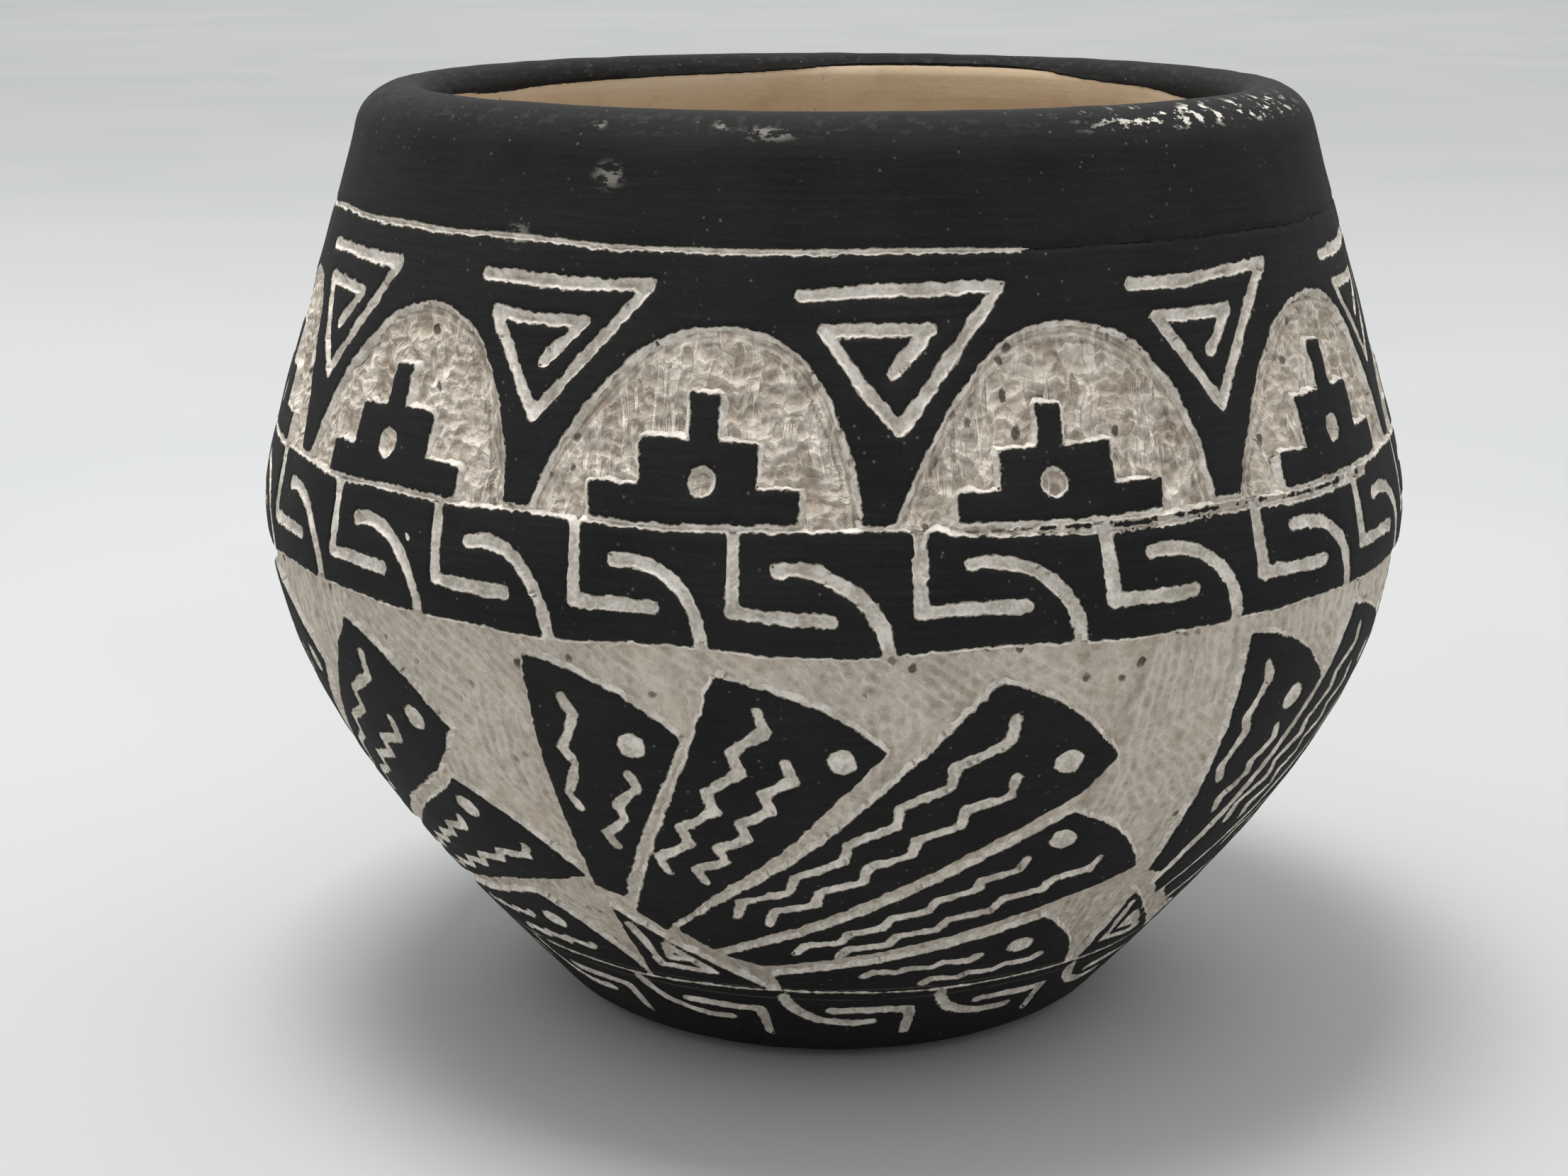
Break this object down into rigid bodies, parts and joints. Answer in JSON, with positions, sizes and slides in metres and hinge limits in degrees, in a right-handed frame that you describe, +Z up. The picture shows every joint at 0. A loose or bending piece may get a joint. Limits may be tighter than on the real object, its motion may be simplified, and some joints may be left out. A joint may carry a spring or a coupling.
{
  "type": "pueblo pottery jar",
  "caption": "Round-bellied hollow clay jar with a wide mouth, its black slip carved into arches, stepped blocks, hooks and feather fans.",
  "frame": {"origin": "middle of the foot, on the surface that the jar stands on", "axes": "+Z up along the jar's axis; -Y is the side that faces the picture"},
  "size_m": [0.114, 0.114, 0.0922],
  "materials": {
    "clay": "bare fired clay, carved with a blunt tool",
    "black_slip": "matte black slip, rubbed smooth"
  },
  "bodies": {
    "root": {"base_slip": "black_slip", "clay_body": "clay", "fan_1_feather_1": "black_slip", "fan_1_feather_2": "black_slip", "fan_1_feather_3": "black_slip", "fan_1_feather_4": "black_slip", "fan_1_feather_5": "black_slip", "fan_1_hub": "black_slip", "fan_2_feather_1": "black_slip", "fan_2_feather_2": "black_slip", "fan_2_feather_3": "black_slip", "fan_2_feather_4": "black_slip", "fan_2_feather_5": "black_slip", "fan_2_hub": "black_slip", "fan_3_feather_1": "black_slip", "fan_3_feather_2": "black_slip", "fan_3_feather_3": "black_slip", "fan_3_feather_4": "black_slip", "fan_3_feather_5": "black_slip", "fan_3_hub": "black_slip", "fan_4_feather_1": "black_slip", "fan_4_feather_2": "black_slip", "fan_4_feather_3": "black_slip", "fan_4_feather_4": "black_slip", "fan_4_feather_5": "black_slip", "fan_4_hub": "black_slip", "fan_5_feather_1": "black_slip", "fan_5_feather_2": "black_slip", "fan_5_feather_3": "black_slip", "fan_5_feather_4": "black_slip", "fan_5_feather_5": "black_slip", "fan_5_hub": "black_slip", "rim_slip": "black_slip", "shoulder_slip": "black_slip", "step_terrace_1": "black_slip", "step_terrace_10": "black_slip", "step_terrace_11": "black_slip", "step_terrace_2": "black_slip", "step_terrace_3": "black_slip", "step_terrace_4": "black_slip", "step_terrace_5": "black_slip", "step_terrace_6": "black_slip", "step_terrace_7": "black_slip", "step_terrace_8": "black_slip", "step_terrace_9": "black_slip", "wave_band_slip": "black_slip"}
  },
  "joints": []
}
